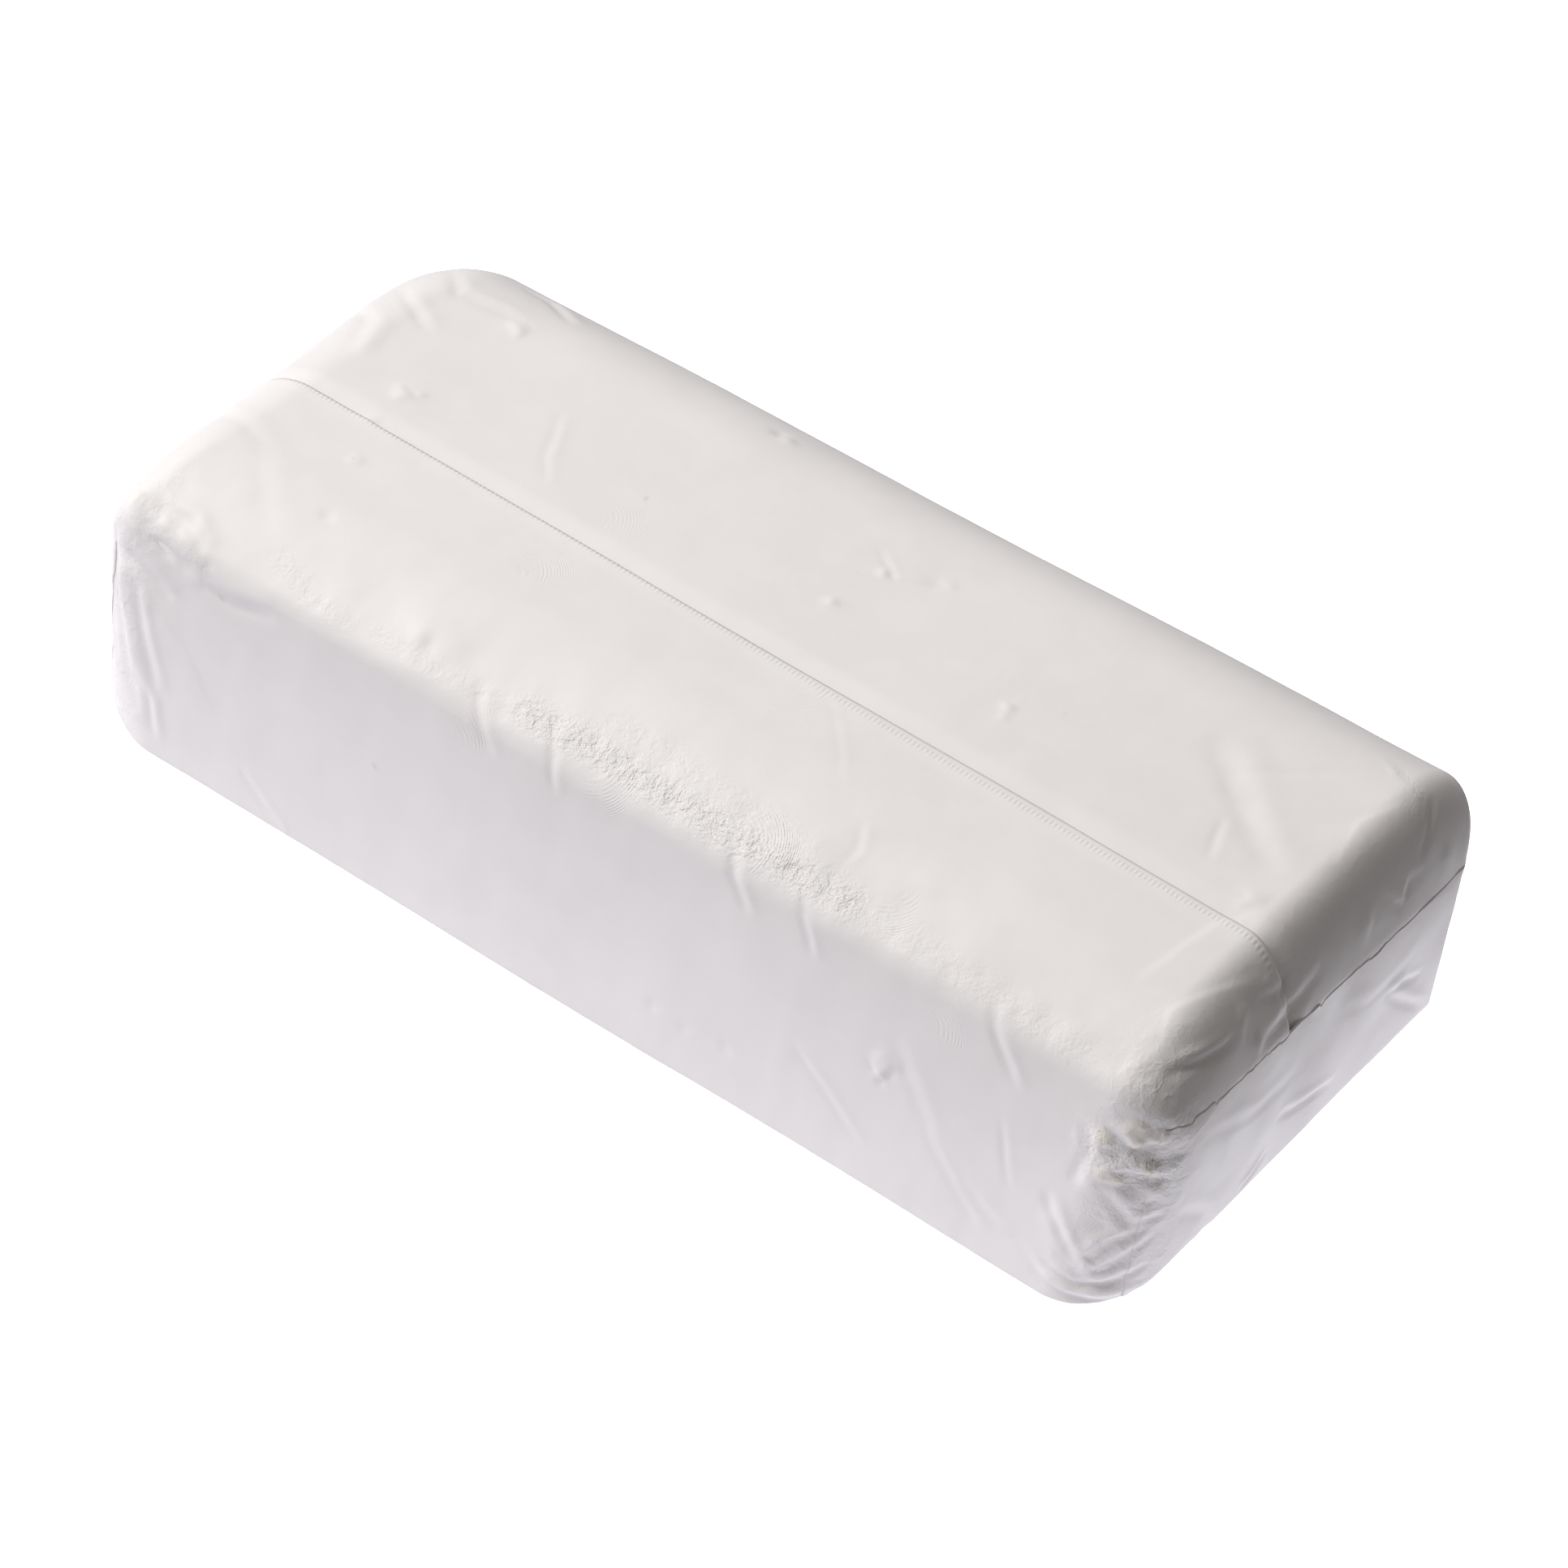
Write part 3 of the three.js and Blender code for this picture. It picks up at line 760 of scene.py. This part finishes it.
# Stretches where the surface is pitted: the line along the middle, its half-width and how strongly.
PITTED = (
    (((-16, -34.2, 37.3), (-2.5, -34.2, 37.4), (14.8, -34.7, 37), (32, -34.6, 37)), 2.2, 1.0),
    (((-6, -30.6, 39.6), (9, -31, 39.6), (24, -32, 38.8)), 2.0, .35),
    (((33, -34.8, 36.8), (44, -34.9, 36.8), (66, -35.7, 35.8)), 2.4, .32),
    (((-54, -33.2, 38), (-47.9, -35.3, 36), (-42, -35.4, 35.8)), 1.8, .34),
    (((-38, -34.8, 36.6), (-30, -35, 36.4), (-20, -34.6, 36.9)), 1.6, .30),
    (((71.8, -37.9, 26), (75.9, -36.3, 24), (78.6, -33, 24)), 3.4, .9),
    (((74, -37.4, 16), (77.4, -35.1, 18), (78.8, -32, 20)), 2.6, .5),
    (((-78, -32.3, 33.7), (-72, -35.6, 34.6), (-63, -36.5, 33.4)), 1.8, .35),
    (((70, 28, 42.6), (73.8, 26.8, 42.6), (77, 24, 40)), 1.6, .4),
    (((-64, 30, 38), (-58, 24, 39.8)), 1.6, .2),
)

# Fingerprints: middle, radius, direction of the ridges, strength.
PRINTS = (
    ((-21.3, -36.6, 33.4), 4.2, (.7, .0, .7), 1.0),
    ((-1.5, -36, 35.1), 4.6, (.8, .0, -.6), .8),
    ((-29.1, -14, 41), 5.0, (.5, .86, .0), .7),
    ((9.5, -14, 41.4), 5.0, (.6, -.8, .0), .7),
    ((18.9, -33.6, 37.8), 5.4, (.86, .5, .0), 1.0),
    ((-26, -1, 41), 4.2, (.9, .4, .0), .5),
    ((38, -33, 38.4), 4.0, (.7, -.7, .0), .7),
    ((50, -37.4, 31), 4.4, (.9, .0, .44), .8),
)
RIDGE_SPACING = 0.48
BEAD_SPACING = 0.65

# A fine dotted line, like a row of stitches pressed into the top, and the number of its dots.
DOTS = 19
DOTTED = ((16, 7.7, 41.8), (27.4, 7.9, 42), (37.2, 10.8, 42.3), (50.6, 12.9, 42.6))


def relief(points, normals):
    """Height of the surface above the plain form, in millimetres."""
    x, y, z = points.T
    h = 0.16 * noise(points, 34, 3) + 0.06 * noise(points, 13, 5)
    h += 0.022 * layered_noise(points, 4, 7)
    h += swell(points, normals)
    front_edge = np.clip(-normals[:, 1], 0, 1) * np.clip(normals[:, 2], 0, 1) * 2
    h += front_edge * (0.16 * noise(points, 8, 11) + 0.08 * noise(points, 3.2, 12))
    drawn = noise(points * (1, 1, 0.15), 5, 16) + 0.5 * noise(points * (1, 1, 0.2), 2.4, 17)
    h += 0.05 * drawn * np.clip(-normals[:, 1], 0, 1) ** 2
    corner = smooth(np.abs(x), HALF_LENGTH - 16, HALF_LENGTH - 4) * smooth(-y, 22, 34)
    h += corner * (0.20 * layered_noise(points, 6, 13) + 0.05 * noise(points, 1.6, 14))
    h += 0.10 * smooth(np.abs(x), HALF_LENGTH - 6, HALF_LENGTH) * layered_noise(points, 7, 15)
    for index, (corners, width, ridge, groove, away) in enumerate(CREASES):
        line = Line(points, normals, corners, abs(away) + 3.2 * width)
        wander = 0.35 * noise(points[line.index], 2.6, 100 + index)
        up = bell((line.distance + wander * 0.5) / width)
        down = bell((line.side - away + wander) / width)
        down *= bell(np.clip(line.distance - away, 0, None) / width)
        h[line.index] += line.fade() * (ridge * up - groove * down)
    for corners, step in STEPS:
        line = Line(points, normals, corners, 14)
        near = bell(line.distance / 7.0)
        h[line.index] += step * line.fade(0.4) * near * (smooth(line.side, -0.4, 0.4) - 0.5)
    for middle, radius, height in BUMPS:
        gap = away_from(middle, points)
        inside = gap < 2.6 * radius
        ragged = 1 + 0.35 * noise(points[inside], radius, 200)
        h[inside] += height * bell(gap[inside] * ragged / radius)
    for index, (corners, width, strength) in enumerate(PITTED):
        line = Line(points, normals, corners, 2.2 * width)
        amount = strength * bell(line.distance / width)
        place = points[line.index]
        holes = smooth(noise(place, 1.5, 300 + index), 0.05, 0.55)
        holes += 0.6 * smooth(noise(place, 0.95, 330), 0.1, 0.6)
        h[line.index] -= 0.11 * amount * holes
        h[line.index] += 0.07 * amount * noise(place, 2.4, 340)
    line = Line(points, normals, DOTTED, 2)
    dots = 0.5 + 0.5 * np.sin(line.place * 2 * math.pi * DOTS)
    h[line.index] += 0.09 * dots * bell(line.distance / 0.55) * line.fade(0.3)
    for chip, radius in CHIPS:
        gap = away_from(chip, points)
        h += 0.30 * smooth(radius - gap, 0, 0.35)
    lap = smooth(z, HEIGHT - 9, HEIGHT - 5)
    at = y + lap_shift(x) - LAP_Y
    h += lap * 0.12 * bell((at + 0.9) / 0.9) * (at < 0.2)
    return h


def marks(points):
    """The material's masks: each a value from 0 to 1 at every point."""
    count = len(points)
    x, y, z = points.T
    masks = {key: np.zeros(count) for key in ("pits", "cream", "dirt", "print_mask")}
    flat = np.tile((0.0, 0.0, 1.0), (count, 1))
    for corners, width, strength in PITTED:
        line = Line(points, flat, corners, 2.2 * width)
        amount = strength * bell(line.distance / width)
        masks["pits"][line.index] = np.maximum(masks["pits"][line.index], amount)
    for chip, radius in CHIPS:
        gap = away_from(chip, points)
        masks["cream"] = np.maximum(masks["cream"], smooth(radius + 0.3 - gap, 0, 0.6))
    for speck, radius in SPECKS:
        gap = away_from(speck, points)
        masks["dirt"] = np.maximum(masks["dirt"], 0.8 * smooth(radius + 0.25 - gap, 0, 0.4))
    phase = np.zeros(count)
    for middle, radius, direction, strength in PRINTS:
        gap = points - middle
        distance = np.linalg.norm(gap, axis=1)
        mask = strength * smooth(radius - distance, 0, 1.6)
        curved = gap @ np.array(direction) + 0.10 * distance**2
        phase = np.where(mask > masks["print_mask"], curved / RIDGE_SPACING, phase)
        masks["print_mask"] = np.maximum(masks["print_mask"], mask)
    masks["print_phase"] = phase
    at = y + lap_shift(x) - LAP_Y
    masks["bead_mask"] = smooth(z, HEIGHT - 7, HEIGHT - 4) * bell((at + 0.5) / 0.45)
    masks["bead_phase"] = x / BEAD_SPACING
    ends = smooth(np.abs(x), HALF_LENGTH - 15, HALF_LENGTH - 3)
    sides = smooth(-y, HALF_WIDTH - 14, HALF_WIDTH - 2)
    masks["crumple"] = np.clip(ends * (0.28 + 0.9 * sides), 0, 1)
    masks["gloss"] = 0.5 + 0.5 * noise(points, 9, 401)
    masks["gloss"] *= smooth(np.abs(x), HALF_LENGTH - 9, HALF_LENGTH - 1)
    return masks


# ---------------------------------------------------------------- meshes


def make_object(name, vertices, faces, material, masks=None):
    mesh = bpy.data.meshes.new(name)
    mesh.from_pydata((np.asarray(vertices) * MM).tolist(), [], faces)
    mesh.validate()
    mesh.shade_smooth()
    mesh.materials.append(material)
    if masks:
        for key, values in masks.items():
            layer = mesh.attributes.new(key, "FLOAT", "POINT")
            layer.data.foreach_set("value", values.astype(np.float32))
    obj = bpy.data.objects.new(name, mesh)
    bpy.context.scene.collection.objects.link(obj)
    return obj


def sheet_object(name, outer, normals, material):
    """A sheet of film with a fine outer face and a coarser inner face, joined along all four edges."""
    turning = np.cross(outer[:-1, 1:] - outer[:-1, :-1], outer[1:, :-1] - outer[:-1, :-1])
    flip = (turning * normals[:-1, :-1]).sum() < 0
    rows, cols = outer.shape[:2]
    inner = (outer - normals * FILM)[::INNER_SKIP, ::INNER_SKIP]
    in_rows, in_cols = inner.shape[:2]
    vertices = np.concatenate([outer.reshape(-1, 3), inner.reshape(-1, 3)])

    def o(i, k):
        return i * cols + k

    def n(i, k):
        return rows * cols + i * in_cols + k

    faces = []
    for i in range(rows - 1):
        faces += [(o(i, k), o(i, k + 1), o(i + 1, k + 1), o(i + 1, k)) for k in range(cols - 1)]
    for i in range(in_rows - 1):
        faces += [(n(i, k), n(i + 1, k), n(i + 1, k + 1), n(i, k + 1)) for k in range(in_cols - 1)]
    for i in range(in_rows - 1):
        edge = range(i * INNER_SKIP, (i + 1) * INNER_SKIP + 1)
        faces.append([o(r, 0) for r in edge] + [n(i + 1, 0), n(i, 0)])
        outer_edge = [o(r, cols - 1) for r in reversed(edge)]
        faces.append([n(i, in_cols - 1), n(i + 1, in_cols - 1)] + outer_edge)
    for k in range(in_cols - 1):
        edge = range(k * INNER_SKIP, (k + 1) * INNER_SKIP + 1)
        faces.append([n(0, k), n(0, k + 1)] + [o(0, c) for c in reversed(edge)])
        faces.append([o(rows - 1, c) for c in edge] + [n(in_rows - 1, k + 1), n(in_rows - 1, k)])
    if flip:
        faces = [tuple(reversed(f)) for f in faces]
    return make_object(name, vertices, faces, material, marks(vertices))


def resampled(values):
    """The same path with a number of intervals that the inner face's spacing divides."""
    intervals = len(values[0]) - 1
    wanted = intervals + (-intervals) % INNER_SKIP
    old = np.arange(intervals + 1)
    new = np.linspace(0, intervals, wanted + 1)
    return [np.interp(new, old, v) for v in values]


def build_sleeve(material):
    """The sheet round the four long sides, with its lap along the top."""
    ys, zs, depth = resampled(section_path())
    grid = form_grid(ys, zs, RIM_ANGLE, turn_in=RIM_TURN_IN)
    normals = grid_normals(grid)
    height = relief_over(grid, normals)
    outer = grid + normals * (height - depth[None, :])[..., None]
    outer[..., 2] = np.maximum(outer[..., 2], 0)
    return sheet_object("wrapper_sleeve", outer, grid_normals(outer), material)


def closed_path():
    """The path round the block without the hidden layer of the lap, from the lap edge right round to it."""
    ys, zs, _ = section_path()
    first = int(np.argmax(ys > LAP_Y + LAP_GAP))
    return ys[first:], zs[first:]


def end_form(end):
    """A closed skin of the block's plain form at one end, to find the surface over any point of the end."""
    ys, zs = closed_path()
    side = side_of(end)
    angles = np.linspace(0, math.pi / 2, 40)
    rows = [on_form(ys, zs, end, a) for a in angles]
    points = np.concatenate(rows + [np.array([[side * HALF_LENGTH, 0, HEIGHT * 0.4]])])
    count = len(ys)
    centre = len(points) - 1
    faces = []
    for i in range(len(rows) - 1):
        for k in range(count):
            m = (k + 1) % count
            faces.append((i * count + k, i * count + m, (i + 1) * count + m, (i + 1) * count + k))
    last = (len(rows) - 1) * count
    faces += [(last + k, last + (k + 1) % count, centre) for k in range(count)]
    return BVHTree.FromPolygons(points.tolist(), faces)


def surface_x(tree, side, y, z):
    """How far out the end's surface is over (y, z), or None beyond its outline."""
    hit = tree.ray_cast(Vector((side * (HALF_LENGTH + 20), y, z)), Vector((-side, 0, 0)))
    if hit[0] is None or hit[0].x * side < HALF_LENGTH - 14:
        return None
    return hit[0].x


def outline_reach(tree, side, z, hand, depth):
    """How far sideways the end reaches at height z before it has turned back by `depth`."""
    near, far = 10.0, HALF_WIDTH + 1
    for _ in range(22):
        middle = (near + far) / 2
        x = surface_x(tree, side, hand * middle, z)
        inside = x is not None and side * x > HALF_LENGTH - depth
        near, far = (middle, far) if inside else (near, middle)
    return near


def lip_height(end, y):
    """Height of the last panel's free edge, a ragged line just under the end's rounding."""
    top = on_form(y, np.full(len(y), HEIGHT), end, math.pi / 2)[:, 2] - 0.05
    seed = 41 if end == "right" else 43
    places = np.stack([y, np.zeros_like(y), np.zeros_like(y)], 1)
    ragged = 0.30 * noise(places, 6.0, seed) + 0.18 * noise(places, 1.9, seed + 1)
    torn = -0.6 * smooth(noise(places, 1.3, seed + 3), 0.45, 0.8)
    return top + ragged + torn


def build_outer_flap(end, material):
    """The last panel folded up over the end. It wraps a little way round the corners and the foot."""
    side = side_of(end)
    tree = end_form(end)
    columns = np.linspace(-1, 1, FLAP_COLUMNS + 1)
    rows = np.linspace(0, 1, FLAP_ROWS + 1)
    levels = np.linspace(FLAP_FOOT, HEIGHT - 7, 60)
    front = np.array([outline_reach(tree, side, z, -1, FLAP_WRAP) for z in levels])
    back = np.array([outline_reach(tree, side, z, 1, FLAP_WRAP) for z in levels])
    lip = lip_height(end, columns * HALF_WIDTH * 0.93)
    grid = np.zeros((len(rows), len(columns), 3))
    for i, v in enumerate(rows):
        z = FLAP_FOOT + (lip - FLAP_FOOT) * v
        y_front = -np.interp(z, levels, front)
        y_back = np.interp(z, levels, back)
        y = y_front + (y_back - y_front) * (columns + 1) / 2
        for k in range(len(columns)):
            x = surface_x(tree, side, y[k], z[k])
            grid[i, k] = (side * (HALF_LENGTH - FLAP_WRAP) if x is None else x, y[k], z[k])
    normals = grid_normals(grid) * -side
    height = relief_over(grid, normals)
    free_edge = smooth(rows, 0.93, 1.0)[:, None]
    flakes = 0.16 * np.clip(noise(grid.reshape(-1, 3), 3.0, 91), 0, 1).reshape(grid.shape[:2])
    lift = FLAP_LIFT * (1 - free_edge) + (0.02 + flakes) * free_edge
    outer = grid + normals * (height + lift)[..., None]
    name = f"wrapper_{end}_outer_flap"
    return sheet_object(name, outer, grid_normals(outer) * -side, material)


def panel_sheet(name, end, outline, x, material, seed):
    """A flat panel with a soft waviness, from a function giving (y, z) over the unit square. It stays a
    little under the surface of the form."""
    side = side_of(end)
    places = np.linspace(0, 1, PANEL_CELLS + 1)
    u, v = np.meshgrid(places, places, indexing="ij")
    y, z = outline(u, v)
    flat = np.stack([np.full(y.size, side * x), y.ravel(), z.ravel()], 1)
    flat[:, 0] += side * (0.15 * noise(flat, 7, seed) + 0.045 * noise(flat, 2.5, seed + 1))
    tree = end_form(end)
    for point in flat:
        surface = surface_x(tree, side, point[1], point[2])
        deepest = side * (HALF_LENGTH - 9) if surface is None else surface - side * UNDER_RIM
        point[0] = side * min(side * point[0], side * deepest)
    grid = flat.reshape(u.shape + (3,))
    normals = grid_normals(grid)
    facing = np.sign((normals[..., 0] * side).mean())
    return sheet_object(name, grid, normals * facing, material)


def node_box(node):
    """The corners of a node's box, in millimetres."""
    low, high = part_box(node)
    return np.array(low) / MM, np.array(high) / MM


def build_inner_flap(end, material):
    """The panel folded down from the top of the end, with a softly rounded free edge."""
    low, high = node_box(f"{end}_inner_flap")
    apron = 1.6

    def outline(u, v):
        fall = 1 - v
        half = high[1] + 0.8 - 2.4 * fall**2
        free = low[2] + 0.5 * (1 - np.cos(2.2 * (u - 0.5)))
        return (2 * u - 1) * half, free + (high[2] + apron - free) * v

    x = (abs(low[0]) + abs(high[0])) / 2
    return panel_sheet(f"wrapper_{end}_inner_flap", end, outline, x, material, 51)


def build_tuck(end, hand, material):
    """A corner tuck folded in from the side of the end: it narrows from its crease to its free edge."""
    word = "back" if hand > 0 else "front"
    low, high = node_box(f"{end}_{word}_tuck")
    inner = min(abs(low[1]), abs(high[1]))
    outer = max(abs(low[1]), abs(high[1]))
    apron = 3.6 if (end, word) == ("right", "back") else 0.8

    def outline(u, v):
        cut = 5.2 * (1 - v) ** 1.3
        bottom = low[2] - 1.0 + cut
        top = high[2] + 1.0 - cut
        return hand * (inner + (outer + apron - inner) * v), bottom + (top - bottom) * u

    x = (abs(low[0]) + abs(high[0])) / 2
    return panel_sheet(f"wrapper_{end}_{word}_tuck", end, outline, x, material, 61 + hand)


def build_chalk(material):
    """The pressed block inside: the same form one layer in, flat and crumbly at both ends."""
    ys, zs = closed_path()
    limit = node_box("chalk_block")[1][0]
    grid = form_grid(ys, zs, math.pi / 2, 0.8)
    normals = grid_normals(grid)
    channel = smooth(ys, LAP_Y - LAP_UNDER - 1, LAP_Y - LAP_UNDER)
    channel *= 1 - smooth(ys, LAP_Y + 2, LAP_Y + 4)
    inset = CHALK_INSET + LAP_DEPTH * channel * (zs > HEIGHT - 1)
    grid = grid - normals * inset[None, :, None]
    grid[..., 0] = np.clip(grid[..., 0], -limit, limit)
    middle = np.array([0, 0, HEIGHT * 0.42])
    caps = []
    for rim in (grid[0], grid[-1]):
        centre = rim * (1, 0, 0) + middle
        caps.append([centre + (rim - centre) * t for t in np.linspace(0.97, 0.02, 34)])
    grid = np.array(caps[0][::-1] + list(grid) + caps[1])
    rows, cols = grid.shape[:2]
    flat = grid.reshape(-1, 3)
    out = grid_normals(grid).reshape(-1, 3)
    crumbs = 0.10 * layered_noise(flat, 3.5, 71) - 0.25 * smooth(noise(flat, 2.2, 73), 0.45, 0.7)
    edge = smooth(np.abs(flat[:, 0]), limit - 6, limit)
    flat = flat + out * (crumbs * (0.3 + 0.7 * edge))[:, None]
    flat[:, 0] = np.clip(flat[:, 0], -limit, limit)
    faces = []
    for i in range(rows - 1):
        for k in range(cols):
            m = (k + 1) % cols
            faces.append((i * cols + k, (i + 1) * cols + k, (i + 1) * cols + m, i * cols + m))
    faces.append(list(range(cols)))
    faces.append([(rows - 1) * cols + k for k in reversed(range(cols))])
    return make_object("pressed_chalk_block", flat, faces, material)


# ---------------------------------------------------------------- build

bpy.context.scene.view_settings.view_transform = "Standard"
bpy.context.scene.view_settings.look = "None"
add_camera()
add_world()
add_floor()
add_key_light()

FILM_MATERIAL = film_material("matt_film")
CHALK_MATERIAL = chalk_material("pressed_chalk")

ROOT = "wrapped_block"
sleeve = build_sleeve(FILM_MATERIAL)
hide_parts("film_sleeve")
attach(sleeve, ROOT)

chalk = build_chalk(CHALK_MATERIAL)
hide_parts("chalk_block")
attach(chalk, ROOT)


def add_panel(piece, body):
    """A panel of the end fold: the model's part for it is hidden and the panel's transform is baked into its
    mesh.
    """
    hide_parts(body)
    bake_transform(piece)


for end in ("right", "left"):
    add_panel(build_outer_flap(end, FILM_MATERIAL), f"{end}_outer_flap")
    add_panel(build_inner_flap(end, FILM_MATERIAL), f"{end}_inner_flap")
    for hand, word in ((-1, "front"), (1, "back")):
        add_panel(build_tuck(end, hand, FILM_MATERIAL), f"{end}_{word}_tuck")
